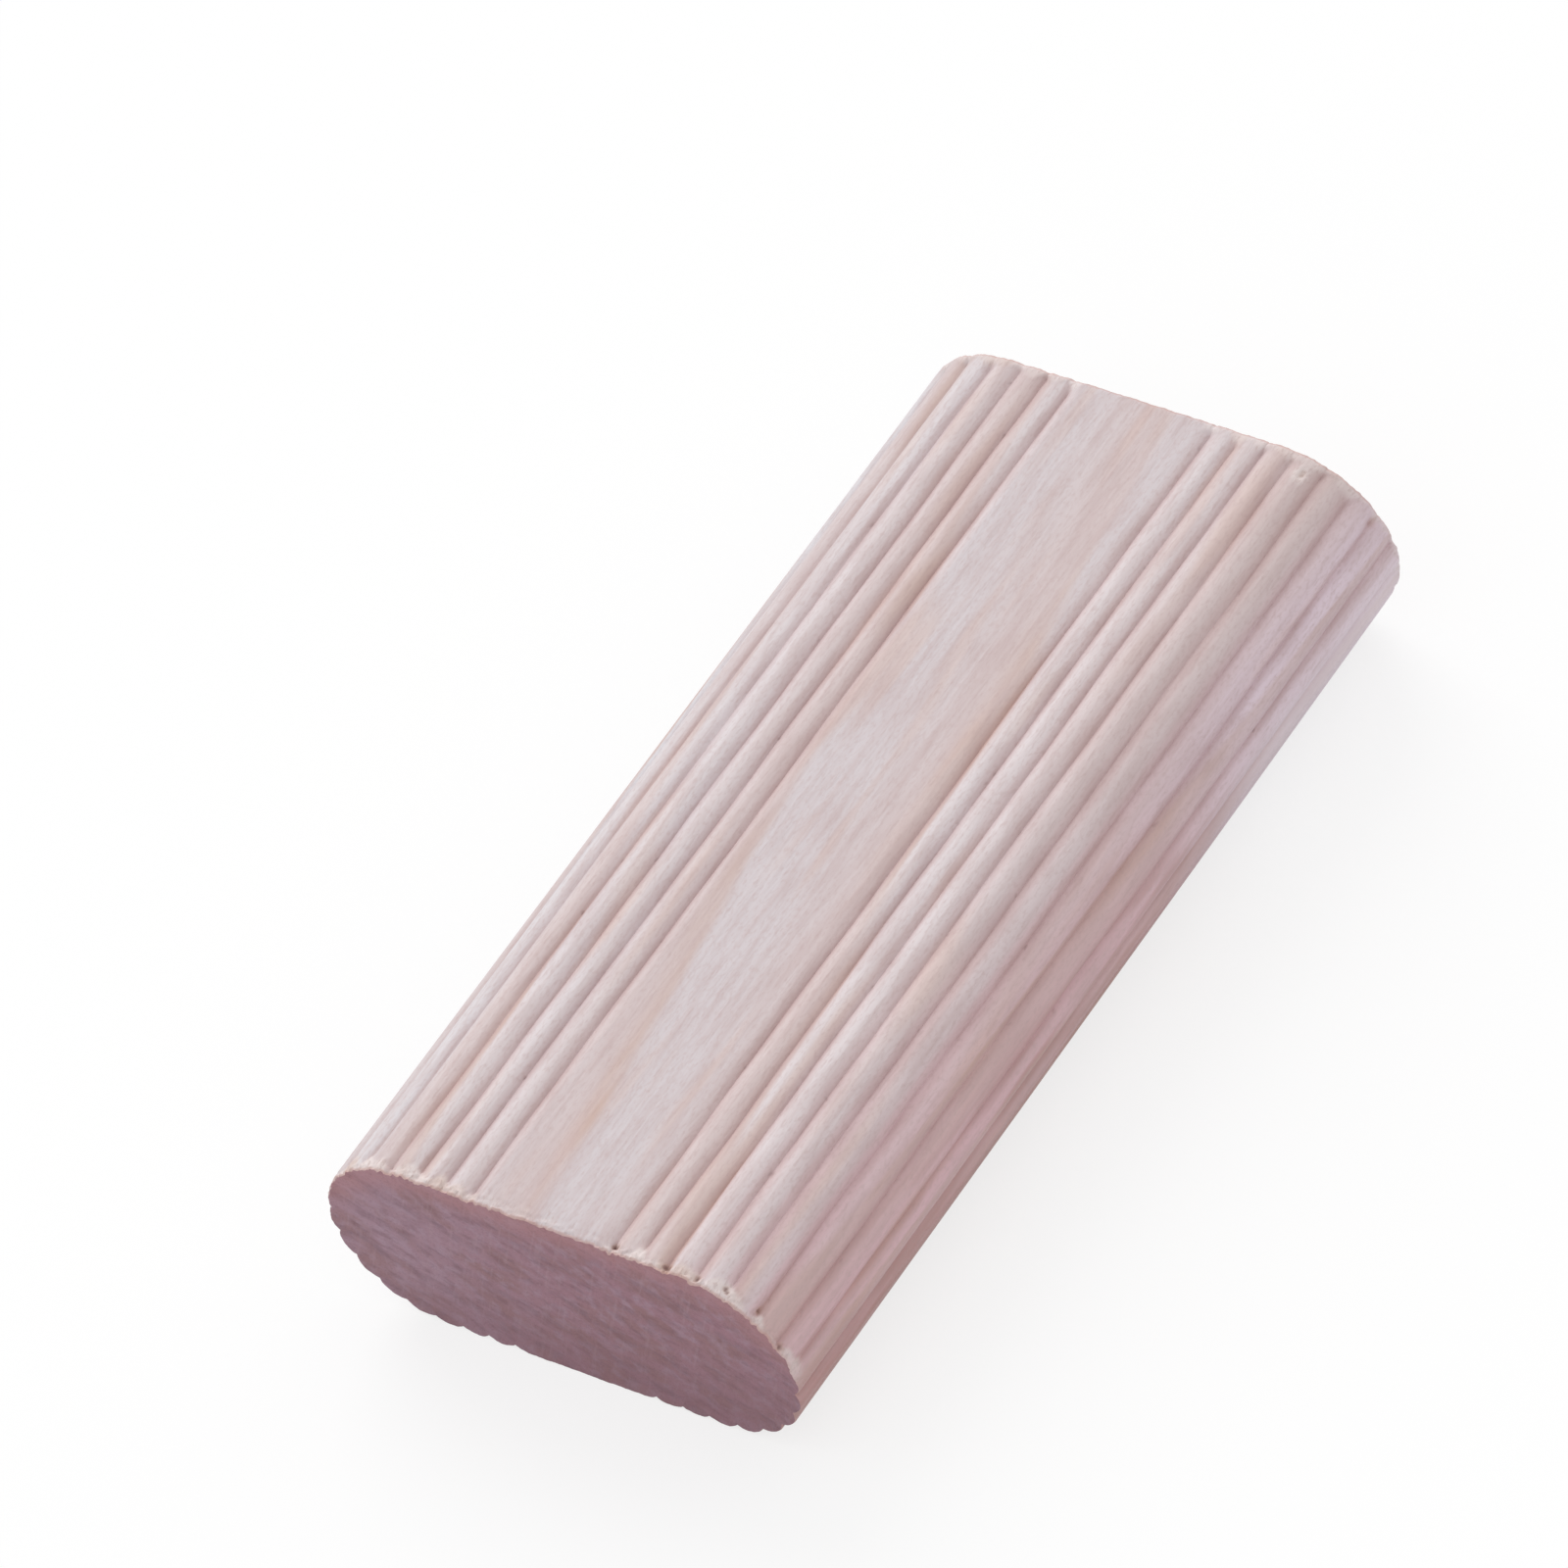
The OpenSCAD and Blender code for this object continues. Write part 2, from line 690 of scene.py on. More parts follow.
    def build(self) -> bpy.types.Object:
        """Builds the skin and the two ends as one closed mesh.

        Returns:
            The pin, with its marks stored on its points.
        """
        points, wears = self.section.outline(), self.wears()
        form = bmesh.new()
        layers = {mark: form.verts.layers.float.new(mark.value) for mark in Mark}
        rings = [
            self.add_ring(form, layers, points, wears[PinEnd.FAR if y > 0 else PinEnd.NEAR], y)
            for y in self.stations()
        ]
        for lower, upper in zip(rings, rings[1:]):
            self.join_rings(form, lower, upper, Skin.FLUTED)
        for end, rim in ((PinEnd.NEAR, rings[0]), (PinEnd.FAR, rings[-1])):
            self.close_end(form, list(zip(points, rim)), wears[end], layers[Mark.RIM])
        bmesh.ops.remove_doubles(form, verts=form.verts, dist=self.merge)
        bmesh.ops.recalc_face_normals(form, faces=form.faces)
        mesh = bpy.data.meshes.new("fluted_pin")
        form.to_mesh(mesh)
        form.free()
        mesh.shade_smooth()
        mesh.set_sharp_from_angle(angle=math.radians(self.crease_deg))
        pin = bpy.data.objects.new("fluted_pin", mesh)
        bpy.context.scene.collection.objects.link(pin)
        return pin

    @staticmethod
    def join_rings(form: BMesh, first: list[BMVert], second: list[BMVert], skin: Skin) -> None:
        """Joins two closed rings of points with four-sided faces.

        Args:
            form: The mesh that takes the faces.
            first: One ring.
            second: The next ring, with as many points.
            skin: The surface that the faces belong to.
        """
        for i, corner in enumerate(first):
            face = form.faces.new((first[i - 1], corner, second[i], second[i - 1]))
            face.material_index = skin.value

    def close_end(
        self, form: BMesh, rim: list[tuple[SkinPoint, BMVert]], wear: EndWear, rim_mark: BMLayerItem
    ) -> None:
        """Fills one end from its rim to the section's middle line, with the low relief of a saw cut.

        Args:
            form: The mesh that takes the end.
            rim: The last ring of the skin, with the outline's points that it follows.
            wear: The wear of this end.
            rim_mark: Where the nearness to the rim is stored.
        """
        plane = wear.end.value * (self.half_length - wear.ragged)
        previous = [vert for _, vert in rim]
        for step in range(1, self.cap_rings + 1):
            share = (step / self.cap_rings) ** self.cap_crowding
            ring = []
            for point, vert in rim:
                to_spine = Vector((self.section.spine(point.x) - vert.co.x, 0.0, self.middle_z - vert.co.z))
                place, inwards = vert.co + to_spine * share, to_spine.length * share
                rough = wander(place.x / self.saw_cell, wear.end.value, place.z / self.saw_cell)
                cut = plane - wear.end.value * self.saw_relief * rough
                place.y += (cut - place.y) * smooth_step(0.0, self.rim_width, inwards)
                inner = form.verts.new(place)
                # The rim mark fades inwards over the end: saw scorch, and painted light that makes the top of
                # the end lighter
                inner[rim_mark] = vert[rim_mark] * (1.0 - smooth_step(0.0, self.rim_flush, inwards))
                ring.append(inner)
            self.join_rings(form, previous, ring, Skin.SAWN)
            previous = ring

    def dress(self, pin: bpy.types.Object, fluted: Material, sawn: Material) -> None:
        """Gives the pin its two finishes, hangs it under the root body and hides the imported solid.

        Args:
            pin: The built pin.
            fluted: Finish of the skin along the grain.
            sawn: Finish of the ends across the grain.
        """
        finishes = {Skin.FLUTED: fluted, Skin.SAWN: sawn}
        for skin in Skin:
            pin.data.materials.append(finishes[skin])
        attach(pin, "root")
        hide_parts(PIN_NODE)


@dataclass(frozen=True)
class Cloud:
    """A soft random pattern, by the size of its cells across, along and through the pin in millimetres. They
    can lie level with the growth rings instead of with the pin."""

    cell: tuple[float, float, float]
    detail: float = 2.0
    with_rings: bool = False


@dataclass(frozen=True)
class Slope:
    """A pattern that grows by the millimetre in one direction through the pin."""

    way: tuple[float, float, float]


@dataclass(frozen=True)
class LateWood:
    """The darker wood of late summer, by when in the year's growth it starts, is full and stops."""

    start: float
    full: float
    winter: float = 1.0


@dataclass(frozen=True)
class BeechGrain:
    """How the tree grew: the rings that every face of the pin cuts through. Sizes in millimetres."""

    ring_spacing: float = 2.25
    ring_start: float = 8.58
    ring_dip_deg: float = 20.0
    ring_slant: float = 0.031
    slow_bend: float = 0.5
    slow_bends: Cloud = Cloud((12.0, 45.0, 12.0))
    quick_bend: float = 0.16
    quick_bends: Cloud = Cloud((1.6, 15.0, 1.6))

    def outwards(self) -> Slope:
        """The way from the tree's middle to its bark."""
        dip = math.radians(self.ring_dip_deg)
        return Slope((math.sin(dip), self.ring_slant, math.cos(dip)))


class SkinPattern(Enum):
    """What varies over the fluted skin."""

    BROAD = Cloud((7.0, 26.0, 7.0))
    PATCHES = Cloud((1.8, 9.0, 1.8))
    MOTTLE = Cloud((0.55, 4.0, 0.55))
    STAINS = Cloud((1.1, 13.0, 1.1), detail=1.0)
    STREAKS = Cloud((0.7, 9.0, 0.7))
    DOTS = Cloud((0.4, 0.8, 0.4), detail=1.0)
    # Beech has fibres 0.02 mm and vessels 0.06 mm wide: too fine to show, so both are drawn coarser
    LONG_FIBRES = Cloud((0.45, 14.0, 0.45), detail=3.0)
    SHORT_FIBRES = Cloud((0.14, 1.8, 0.14), detail=3.0)
    VESSELS = Cloud((0.2, 1.5, 0.2), detail=1.0)
    SPECKS = Cloud((0.12, 0.3, 0.12))
    LATE_WOOD = LateWood(0.25, 0.92)
    RING_LINES = LateWood(0.78, 0.93)
    LEFT = Slope((-1.0, 0.0, 0.0))
    ALONG = Slope((0.0, 1.0, 0.0))
    RIGHT_AND_DOWN = Slope((0.78, 0.0, -0.62))
    RIGHT_DOWN_AND_NEAR = Slope((0.78, -0.06, -0.62))
    SHOULDER = Slope((0.7, 0.0, -0.7))
    FOOT = Slope((0.3, 0.0, -1.0))
    NEAR_FOOT = Slope((0.3, -0.06, -1.0))


class EndPattern(Enum):
    """What varies over the sawn ends."""

    BROAD = Cloud((3.0, 20.0, 1.3), with_rings=True)
    MOTTLE = Cloud((0.6, 9.0, 0.5), detail=3.0, with_rings=True)
    STREAKS = Cloud((0.9, 9.0, 0.38), with_rings=True)
    # Rays and vessels are 0.06 to 0.1 mm wide: the rays, too fine to show, are drawn twice as wide
    RAYS = Cloud((0.2, 9.0, 2.2), detail=1.0, with_rings=True)
    PORES = Cloud((0.1, 2.0, 0.1), detail=1.0)
    LATE_WOOD = LateWood(0.6, 0.95)
    LEFT = Slope((-1.0, 0.0, 0.0))
    ALONG = Slope((0.0, 1.0, 0.0))
    FOOT = Slope((0.2, 0.0, -1.0))


@dataclass(frozen=True)
class Rise:
    """A share that grows from nothing to its most as a pattern goes from low to high, with soft ends or
    straight. It falls where low is the greater of the two."""

    source: SkinPattern | EndPattern | Mark | BeechGrain
    low: float = 0.0
    high: float = 1.0
    most: float = 1.0
    soft: bool = True


@dataclass(frozen=True)
class Tint:
    """A colour laid over those below it, where one pattern shows it and others let it through."""

    colour: str
    where: Rise
    within: tuple[Rise, ...] = ()


@dataclass
class GrainPainter:
    """Draws the wood's patterns in one material's node tree, each of them once, and lays tints by them."""

    tree: NodeTree
    grain: BeechGrain
    noise_scale: float = 1.0
    drawn: dict[Any, NodeSocket] = field(default_factory=dict)

    @cached_property
    def place(self) -> NodeSocket:
        """Place on the pin in millimetres, with its length along Y."""
        place = {"Vector": add_node(self.tree, "TexCoord").outputs["Object"], "Scale": 1 / MM}
        return add_node(self.tree, "VectorMath", place, operation="SCALE").outputs["Vector"]

    @cached_property
    def level_place(self) -> NodeSocket:
        """The same place, turned level with the growth rings."""
        turn = {"Vector": self.place, "Angle": -math.radians(self.grain.ring_dip_deg)}
        return add_node(self.tree, "VectorRotate", turn, rotation_type="Y_AXIS").outputs["Vector"]

    def pattern(self, form: Any) -> NodeSocket:
        """Draws a pattern, or finds it where it is drawn already.

        Args:
            form: The pattern, or the name that it has for a finish.

        Returns:
            Its value at each place.
        """
        form = form.value if isinstance(form, Enum) else form
        if form not in self.drawn:
            self.drawn[form] = self.draw(form)
        return self.drawn[form]

    def draw(self, form: Cloud | Slope | LateWood | Rise | BeechGrain | str) -> NodeSocket:
        """Draws one pattern.

        Args:
            form: The pattern: a mark by its name, or the grain for how far through its year each place lies.

        Returns:
            Its value at each place.
        """
        tree = self.tree
        if isinstance(form, Cloud):
            place = self.level_place if form.with_rings else self.place
            cells = add_node(tree, "VectorMath", {0: place, 1: form.cell}, operation="DIVIDE")
            sizes = {"Scale": self.noise_scale, "Detail": form.detail}
            return add_node(tree, "TexNoise", {"Vector": cells.outputs["Vector"], **sizes}).outputs[0]
        if isinstance(form, Slope):
            ways = {0: self.place, 1: form.way}
            return add_node(tree, "VectorMath", ways, operation="DOT_PRODUCT").outputs["Value"]
        if isinstance(form, Rise):
            limits = {"From Min": form.low, "From Max": form.high, "To Max": form.most}
            ranged = add_node(
                tree, "MapRange", {"Value": self.pattern(form.source), **limits},
                interpolation_type="SMOOTHSTEP" if form.soft else "LINEAR",
            )
            return ranged.outputs["Result"]
        if isinstance(form, LateWood):
            rise = self.pattern(Rise(self.grain, form.start, form.full))
            fall = self.pattern(Rise(self.grain, form.full, form.winter))
            late = add_node(tree, "Math", {0: rise, 1: fall}, operation="SUBTRACT", use_clamp=True)
            return late.outputs["Value"]
        if isinstance(form, BeechGrain):
            return self.year()
        return add_node(tree, "Attribute", attribute_name=form).outputs["Fac"]

    def year(self) -> NodeSocket:
        """Draws how far through its year's growth each place lies.

        Returns:
            The share, from 0 just after one winter to 1 at the next.
        """
        grain = self.grain
        total = self.pattern(grain.outwards())
        for bend, bends in ((grain.slow_bend, grain.slow_bends), (grain.quick_bend, grain.quick_bends)):
            terms = {0: self.pattern(bends), 1: bend, 2: total}
            total = add_node(self.tree, "Math", terms, operation="MULTIPLY_ADD").outputs["Value"]
        start = grain.ring_start + (grain.slow_bend + grain.quick_bend) / 2
        steps = (("SUBTRACT", {1: start}), ("DIVIDE", {1: grain.ring_spacing}), ("FRACT", {}))
        for operation, number in steps:
            total = add_node(self.tree, "Math", {0: total, **number}, operation=operation).outputs["Value"]
        return total

    def colour(self, ground: str, tints: tuple[Tint, ...]) -> NodeSocket:
        """Lays tints over a ground colour, one after another.

        Args:
            ground: The colour underneath.
            tints: The tints, from the lowest to the top one.

        Returns:
            The finished colour.
        """
        colour: Any = linear(ground)
        for tint in tints:
            share = self.pattern(tint.where)
            for limit in tint.within:
                both = {0: share, 1: self.pattern(limit)}
                share = add_node(self.tree, "Math", both, operation="MULTIPLY").outputs["Value"]
            mixed = {MIX_FACTOR: share, MIX_A: colour, MIX_B: linear(tint.colour)}
            colour = add_node(self.tree, "Mix", mixed, data_type="RGBA").outputs[MIX_RESULT]
        return colour


@dataclass(frozen=True)
class PressedBeech:
    """Beech planed and fluted along the grain. The grooves hold dust and are darkened with painted shade, and
    the sides carry painted light and shade.
    """

    grain: BeechGrain
    rose: str = "#d9c9ca"
    cool: str = "#d6ced3"
    # Painted sheen: the paler, cooler colour of the left side
    painted_left_sheen: str = "#d4d2d7"
    planed: str = "#d1c7ca"
    # Painted shade: the pinker colour that the lower right side takes in shade
    painted_shade_pink: str = "#dab4ba"
    # Painted highlight: paler bead crowns
    painted_crown_highlight: str = "#dbd3d5"
    tan: str = "#cbb0aa"
    deep_tan: str = "#bb9379"
    dark_fibre: str = "#bca2a0"
    fleck: str = "#a98a84"
    # Painted shade with dust: the colour that darkens the grooves
    groove: str = "#a57a76"
    # Dark brown of dust specks in the grooves, and of the painted shade in the torn holes
    torn: str = "#775350"
    burr: str = "#e6d9d6"
    # Painted reflection: pale lilac light from the white floor
    painted_reflection_lilac: str = "#e4d2dd"
    # Painted shade: the darker, redder underside
    painted_underside_shade: str = "#b08079"
    warm: str = "#d3b0a0"
    # Brown of grain streaks that also stand for painted shade along the near foot
    brown: str = "#a5705f"
    # Painted reflection: pale light from the white floor on the far foot
    pale: str = "#efe4ec"
    scorch: str = "#c4948b"
    ior: float = 1.5
    relief: float = 0.016 * MM
    rough_fibres: tuple[float, float] = (0.3, 0.7)
    roughness: tuple[float, float] = (0.54, 0.7)

    def ground_tints(self) -> tuple[Tint, ...]:
        """Lists the broad tints, which follow the pin's sides and its length. Several are painted light and
        shade: a paler, cooler sheen on the left, paler crowns on the upper left, a pinker shade side, a lilac
        reflection on the far right shoulder and darker shade along the near foot.

        Returns:
            The tints, from the lowest to the top one.
        """
        skin = SkinPattern
        return (
            Tint(self.cool, Rise(skin.BROAD, low=0.35, high=0.65, most=0.5)),
            # Painted sheen: the left side, facing the lamp and the sky, paler and cooler
            Tint(self.painted_left_sheen, Rise(skin.LEFT, low=6.5, high=11.0)),
            Tint(self.planed, Rise(Mark.PLAIN, soft=False)),
            # Painted shade: pinker towards the lower right and the near end, the side away from the lamp
            Tint(self.painted_shade_pink, Rise(skin.RIGHT_DOWN_AND_NEAR, low=-1.0, high=6.6, most=0.92)),
            # Painted highlight: the bead crowns paler on the upper left, where the lamp falls, but not on the
            # plain bands
            Tint(self.painted_crown_highlight, Rise(Mark.GROOVE, low=0.45, high=0.0, most=0.6), within=(
                Rise(Mark.PLAIN, low=0.6, high=0.0),
                Rise(skin.RIGHT_AND_DOWN, low=4.5, high=1.5),
            )),
            # Painted reflection: pale lilac light from the floor along the far right shoulder
            Tint(self.painted_reflection_lilac, Rise(skin.SHOULDER, low=0.3, high=3.2, most=0.9), within=(
                Rise(skin.ALONG, low=1.0, high=15.0),
            )),
            # Painted shade: the underside near the floor darker and redder, towards the near end
            Tint(self.painted_underside_shade, Rise(skin.NEAR_FOOT, low=-0.6, high=1.2, most=0.6), within=(
                Rise(skin.ALONG, low=14.0, high=4.0),
            )),
            # Brown streaks of the grain, laid only along the near foot: grain, and painted shade that darkens
            # the foot
            Tint(self.brown, Rise(skin.STREAKS, low=0.44, high=0.68, most=0.45), within=(
                Rise(skin.NEAR_FOOT, low=-4.0, high=-1.0),
                Rise(skin.ALONG, low=16.0, high=7.0),
            )),
        )

    def grain_tints(self) -> tuple[Tint, ...]:
        """Lists the tints of the grain: late wood, fibres and vessels.

        Returns:
            The tints, from the lowest to the top one.
        """
        skin = SkinPattern
        return (
            Tint(self.warm, Rise(skin.STAINS, low=0.52, high=0.75, most=0.4)),
            Tint(self.tan, Rise(skin.LATE_WOOD, most=0.45, soft=False)),
            Tint(self.deep_tan, Rise(skin.RING_LINES, most=0.4, soft=False), within=(
                Rise(skin.PATCHES, low=0.38, high=0.68),
            )),
            Tint(self.dark_fibre, Rise(skin.LONG_FIBRES, low=0.45, high=0.8, most=0.3)),
            Tint(self.dark_fibre, Rise(skin.SHORT_FIBRES, low=0.45, high=0.85, most=0.3)),
            Tint(self.dark_fibre, Rise(skin.MOTTLE, low=0.4, high=0.7, most=0.3)),
            Tint(self.dark_fibre, Rise(skin.SPECKS, low=0.45, high=0.75, most=0.35)),
            Tint(self.fleck, Rise(skin.VESSELS, low=0.62, high=0.76, most=0.15)),
        )

    def wear_tints(self) -> tuple[Tint, ...]:
        """Lists the tints of the pressing and the saw: dust and painted shade in the grooves, a painted
        reflection on the far foot, burr, scorched rim and painted shade in the torn holes.

        Returns:
            The tints, from the lowest to the top one.
        """
        skin = SkinPattern
        return (
            # Painted shade with dust: the grooves darker towards their bottoms
            Tint(self.groove, Rise(Mark.GROOVE, low=0.08, high=0.95, most=0.28), within=(
                Rise(skin.MOTTLE, high=0.6),
            )),
            Tint(self.torn, Rise(skin.DOTS, low=0.68, high=0.8, most=0.4), within=(
                Rise(Mark.GROOVE, low=0.45, high=0.95),
            )),
            # Painted reflection: the far foot paler, as if lit from the white floor
            Tint(self.pale, Rise(skin.FOOT, low=-2.2, high=-0.4, most=0.55), within=(
                Rise(skin.ALONG, low=5.0, high=16.0),
            )),
            Tint(self.burr, Rise(Mark.BURR, low=0.12, high=0.7, most=0.72)),
            Tint(self.deep_tan, Rise(skin.PATCHES, low=0.5, high=0.68, most=0.45), within=(
                Rise(Mark.BURR, soft=False),
            )),
            Tint(self.scorch, Rise(Mark.RIM, low=0.05, most=0.55)),
            Tint(self.fleck, Rise(skin.SPECKS, low=0.5, high=0.72, most=0.6), within=(
                Rise(Mark.BURR, soft=False),
            )),
            # Painted shade in the torn holes: tan at their edges, dark brown inside
            Tint(self.deep_tan, Rise(Mark.TORN, low=0.05, high=0.5, most=0.3)),
            Tint(self.torn, Rise(Mark.TORN, low=0.25, high=0.95, most=0.75)),
        )

    def material(self) -> Material:
        """Builds the finish of the fluted skin.

        Returns:
            The material.
        """
        # Bare beech, planed and pressed: pale rose and matt, with tan late wood and fine dashes of fibre
        material, tree = blank_material("beech_pressed_flutes")
        painter = GrainPainter(tree, self.grain)
        fibres = {0: painter.pattern(SkinPattern.LONG_FIBRES), 1: painter.pattern(SkinPattern.SHORT_FIBRES)}
        height = add_node(tree, "Math", fibres, operation="ADD").outputs["Value"]
        (low, high), (least, most) = self.rough_fibres, self.roughness
        limits = {"From Min": low, "From Max": high, "To Min": least, "To Max": most}
        rough = add_node(tree, "MapRange", {"Value": painter.pattern(SkinPattern.SHORT_FIBRES), **limits})
        tints = self.ground_tints() + self.grain_tints() + self.wear_tints()
        surface = add_node(tree, "BsdfPrincipled", {
            "Base Color": painter.colour(self.rose, tints),
            "Roughness": rough.outputs["Result"],
            "IOR": self.ior,
            "Normal": add_node(tree, "Bump", {"Distance": self.relief, "Height": height}).outputs["Normal"],
        })
        add_node(tree, "OutputMaterial", {"Surface": surface.outputs["BSDF"]})
        return material


@dataclass(frozen=True)
class SawnBeech:
    """Beech sawn across the grain, with short dark streaks along the rings and a scorched, redder edge where
    the saw came out. That edge is also painted light, which makes the top of each end lighter, and painted
    shade darkens each end towards the floor."""

    grain: BeechGrain
    # Mauve ground: the end's colour with the cool cast of shade painted in
    ground: str = "#a57d89"
    mauve: str = "#ae92a2"
    brown: str = "#987273"
    streak: str = "#75555e"
    pore: str = "#735560"
    ray: str = "#b598a1"
    # Redder, lighter rim: saw scorch, and painted light on the top of the end
    rim: str = "#b7868b"
    # Painted shade: darker towards the floor
    foot: str = "#8c6a72"
    # Painted light: the far end, in the light, warmer than the shaded near end
    lit_end_tone: str = "#b6998f"
    ior: float = 1.5
    roughness: float = 0.75
    pore_depth: float = 0.03 * MM

    def tints(self) -> tuple[Tint, ...]:
        """Lists the tints of both ends. The near one, in shade, keeps the cool mauve cast of that shade
        painted into its colour; the far one, which lies in the light, is the warmer one.

        Returns:
            The tints, from the lowest to the top one.
        """
        end = EndPattern
        return (
            Tint(self.mauve, Rise(end.LEFT, low=-2.0, high=12.0, most=0.6)),
            Tint(self.brown, Rise(end.BROAD, low=0.4, high=0.66, most=0.65)),
            Tint(self.mauve, Rise(end.MOTTLE, low=0.42, high=0.7, most=0.6)),
            # Lit and shaded copies of one wood: warmer towards the far end, which lies in the light; the near
            # end keeps the painted cool shade
            Tint(self.lit_end_tone, Rise(end.ALONG, low=-1.0, most=0.65)),
            Tint(self.streak, Rise(end.LATE_WOOD, soft=False), within=(
                Rise(end.MOTTLE, low=0.3, high=0.7, most=0.4),
            )),
            Tint(self.streak, Rise(end.STREAKS, low=0.44, high=0.78, most=0.45)),
            Tint(self.ray, Rise(end.RAYS, low=0.55, high=0.75, most=0.25)),
            # Painted shade: each end darker towards the floor
            Tint(self.foot, Rise(end.FOOT, low=-6.0, high=1.5, most=0.45)),
            # Saw scorch and painted light: the upper rim of each end redder and lighter
            Tint(self.rim, Rise(Mark.RIM, most=0.65)),
            Tint(self.pore, Rise(end.PORES, low=0.48, high=0.75, most=0.22)),
        )

    def material(self) -> Material:
        """Builds the finish of the sawn ends.

        Returns:
            The material.
        """
        # Bare beech, sawn across: open pores drink the light, so it is darker than the skin and quite matt
        material, tree = blank_material("beech_sawn_end")
        painter = GrainPainter(tree, self.grain)
        pores = {"Distance": self.pore_depth, "Height": painter.pattern(EndPattern.PORES)}
        surface = add_node(tree, "BsdfPrincipled", {
            "Base Color": painter.colour(self.ground, self.tints()),
            "Roughness": self.roughness,
            "IOR": self.ior,
            "Normal": add_node(tree, "Bump", pores, invert=True).outputs["Normal"],
        })
        add_node(tree, "OutputMaterial", {"Surface": surface.outputs["BSDF"]})
        return material


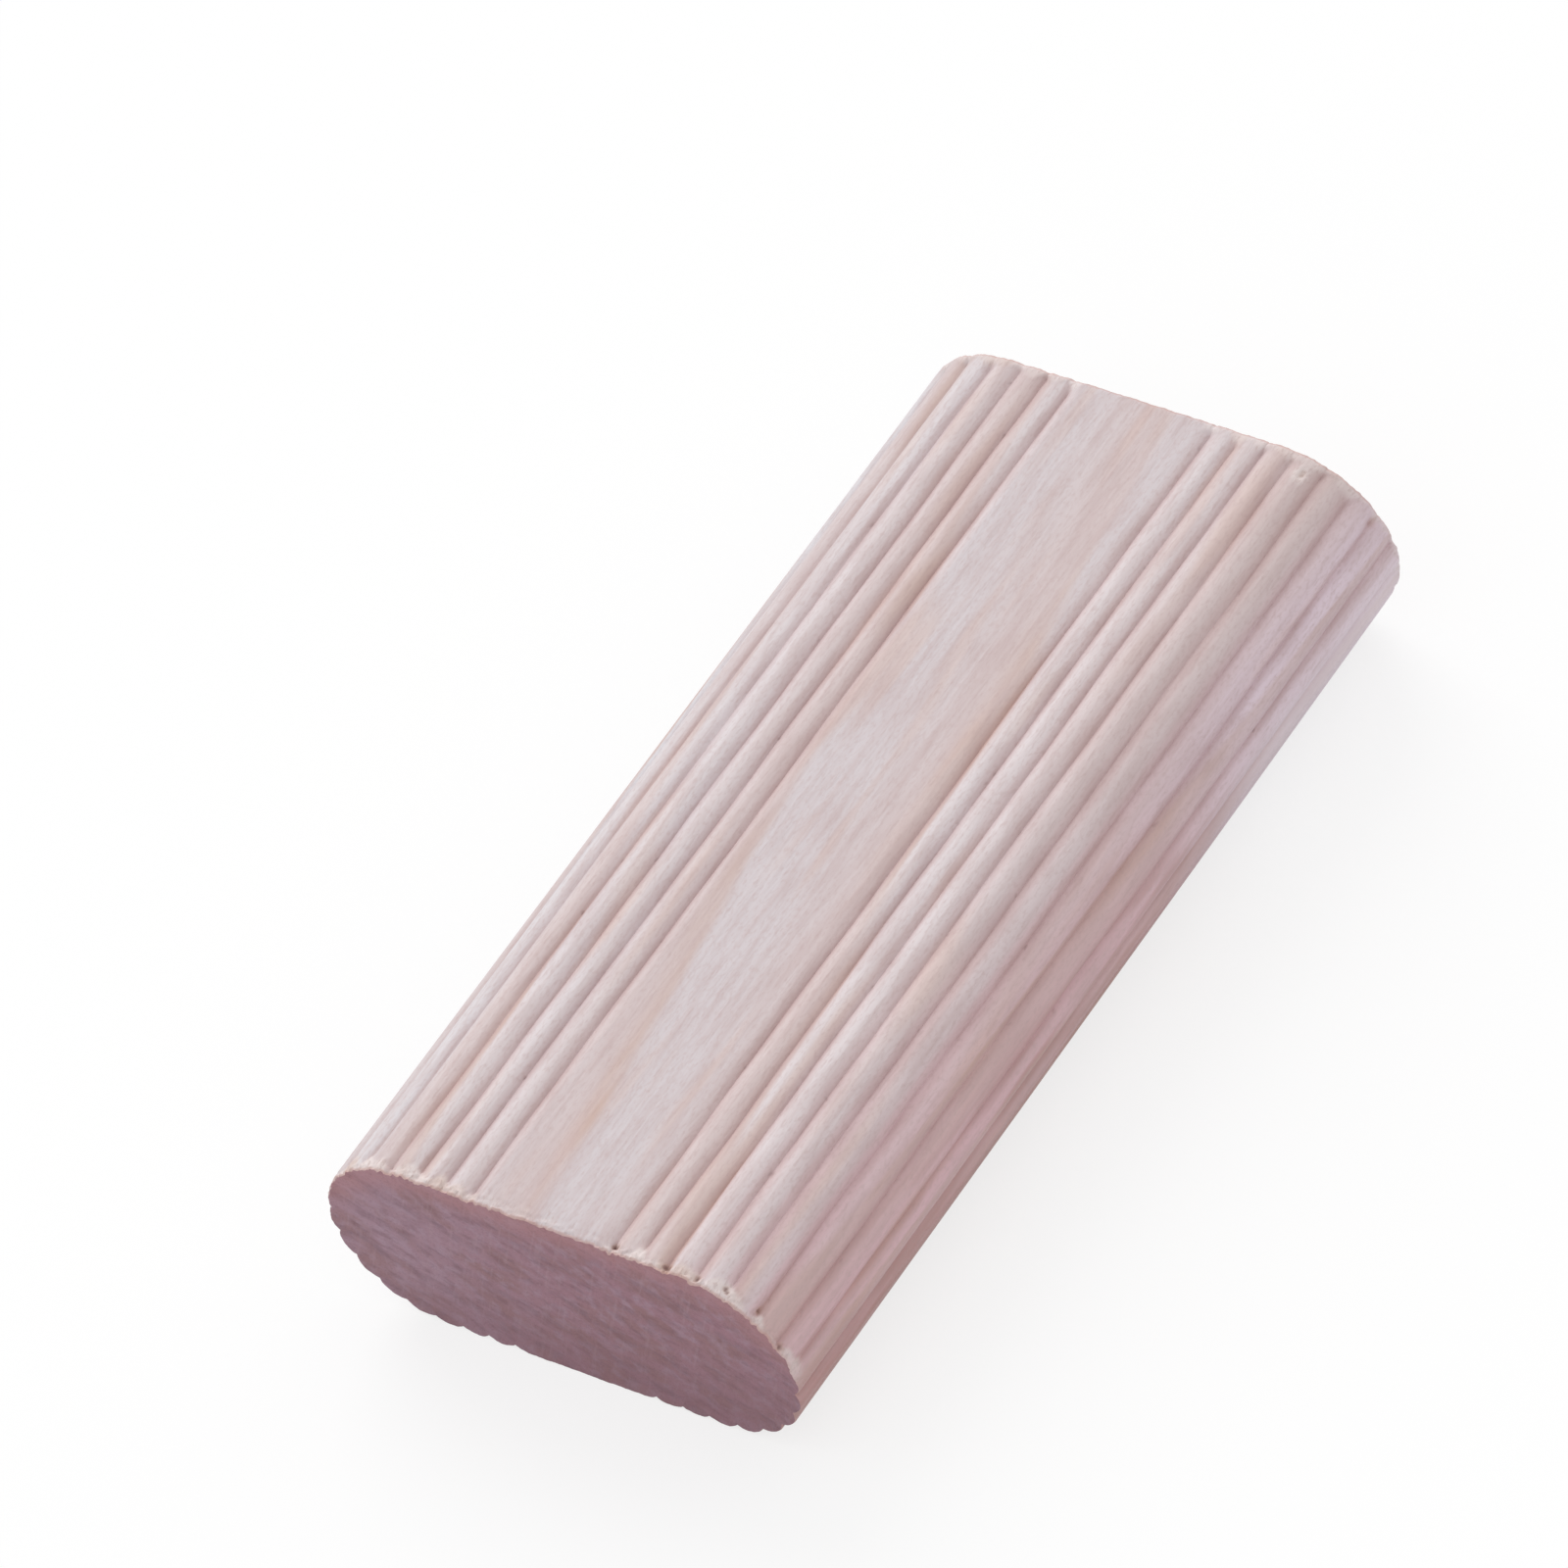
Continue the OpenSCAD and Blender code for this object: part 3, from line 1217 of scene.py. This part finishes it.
@dataclass
class Studio:
    """Pale floor, even sky and one soft lamp from behind the pin's left shoulder."""

    floor_half: float = 3.0
    sky: float = 0.78
    seen_sky: float = 1.0
    sky_colour: str = "#ffffff"
    lamp_from: tuple[float, float, float] = (-0.62, 0.55, 0.5)
    lamp_strength: float = 1.33
    lamp_spread_deg: float = 45.0
    floor_white: str = "#ffffff"
    floor_bounce: str = "#e2e2e2"
    floor_glow: float = 1.0
    floor_glow_share: float = 0.75

    @staticmethod
    def seen(tree: NodeTree) -> NodeSocket:
        """Finds the rays that show the background to the eye, straight or by reflection.

        Args:
            tree: The node tree.

        Returns:
            A share that is 1 on those rays and 0 on the others.
        """
        path = add_node(tree, "LightPath")
        shown = path.outputs["Is Camera Ray"]
        for name in ("Is Glossy Ray", "Is Transmission Ray"):
            both = {0: shown, 1: path.outputs[name]}
            shown = add_node(tree, "Math", both, operation="MAXIMUM").outputs["Value"]
        return shown

    def floor_paint(self) -> Material:
        """Builds the floor's finish.

        Returns:
            The material.
        """
        # Matt white paint: no gloss, so it shows as a white ground that keeps a soft shadow
        material, tree = blank_material("floor_matt_white")
        seen = self.seen(tree)
        mixed = {MIX_FACTOR: seen, MIX_A: linear(self.floor_bounce), MIX_B: linear(self.floor_white)}
        colour = add_node(tree, "Mix", mixed, data_type="RGBA").outputs[MIX_RESULT]
        share = add_node(tree, "Math", {0: seen, 1: self.floor_glow_share}, operation="MULTIPLY")
        both = add_node(tree, "MixShader", {
            0: share.outputs["Value"],
            1: add_node(tree, "BsdfDiffuse", {"Color": colour}).outputs["BSDF"],
            2: add_node(tree, "Emission", {"Strength": self.floor_glow}).outputs["Emission"],
        })
        add_node(tree, "OutputMaterial", {"Surface": both.outputs["Shader"]})
        return material

    def build(self) -> None:
        """Lays the floor, hangs the lamp and lights the sky."""
        half = self.floor_half
        corners = [(-half, -half, 0), (half, -half, 0), (half, half, 0), (-half, half, 0)]
        mesh = bpy.data.meshes.new("floor")
        mesh.from_pydata(corners, [], [range(len(corners))])
        floor = bpy.data.objects.new("floor", mesh)
        floor.data.materials.append(self.floor_paint())
        bpy.context.scene.collection.objects.link(floor)

        light = bpy.data.lights.new("soft_lamp", "SUN")
        light.energy = self.lamp_strength
        light.angle = math.radians(self.lamp_spread_deg)
        lamp = bpy.data.objects.new("soft_lamp", light)
        lamp.rotation_euler = Vector(self.lamp_from).to_track_quat("Z", "Y").to_euler()
        bpy.context.scene.collection.objects.link(lamp)

        world = bpy.data.worlds.new("even_sky")
        world.use_nodes = True
        tree = world.node_tree
        tree.nodes.clear()
        limits = {"To Min": self.sky, "To Max": self.seen_sky}
        strength = add_node(tree, "MapRange", {"Value": self.seen(tree), **limits}).outputs["Result"]
        sky = add_node(tree, "Background", {"Color": linear(self.sky_colour), "Strength": strength})
        add_node(tree, "OutputWorld", {"Surface": sky.outputs["Background"]})
        bpy.context.scene.world = world


@dataclass(frozen=True)
class PhotoCamera:
    """The photograph's view: a long lens that looks down over the pin's near right corner."""

    azimuth_deg: float = 45.064
    elevation_deg: float = 46.665
    roll_deg: float = 17.412
    distance: float = 612.46 * MM
    lens_mm: float = 328.24
    sensor_mm: float = 36.0
    aim_right: float = -3.706 * MM
    aim_up: float = 4.168 * MM

    def place(self, centre: Vector) -> None:
        """Sets up the scene's camera.

        Args:
            centre: Middle of the pin.
        """
        azimuth, elevation = math.radians(self.azimuth_deg), math.radians(self.elevation_deg)
        back = Vector((
            math.sin(azimuth) * math.cos(elevation),
            -math.cos(azimuth) * math.cos(elevation),
            math.sin(elevation),
        ))
        level = Vector((math.cos(azimuth), math.sin(azimuth), 0.0))
        turn = Matrix.Rotation(-math.radians(self.roll_deg), 3, back)
        right = turn @ level
        up = back.cross(right)
        aim = centre + right * self.aim_right + up * self.aim_up
        data = bpy.data.cameras.new("photo_camera")
        data.sensor_fit = "HORIZONTAL"
        data.sensor_width = self.sensor_mm
        data.lens = self.lens_mm
        camera = bpy.data.objects.new("photo_camera", data)
        axes = Matrix((right, up, back)).transposed().to_4x4()
        camera.matrix_world = Matrix.Translation(aim + back * self.distance) @ axes
        bpy.context.scene.collection.objects.link(camera)
        bpy.context.scene.camera = camera


def main() -> None:
    """Builds the pin, the studio and the camera, and notes how many points and faces the pin has."""
    logging.basicConfig(level=logging.INFO)
    low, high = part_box(PIN_NODE)
    size = high - low
    centre = (low + high) / 2
    grain = BeechGrain()
    dowel = FlatDowel(FluteSection(size.x, size.z), size.y / 2, centre.z)
    pin = dowel.build()
    dowel.dress(pin, PressedBeech(grain).material(), SawnBeech(grain).material())
    LOG.info("%s: %d points, %d faces", pin.name, len(pin.data.vertices), len(pin.data.polygons))
    Studio().build()
    PhotoCamera().place(centre)
    bpy.context.scene.view_settings.view_transform = "Standard"


if __name__ == "__main__":
    main()
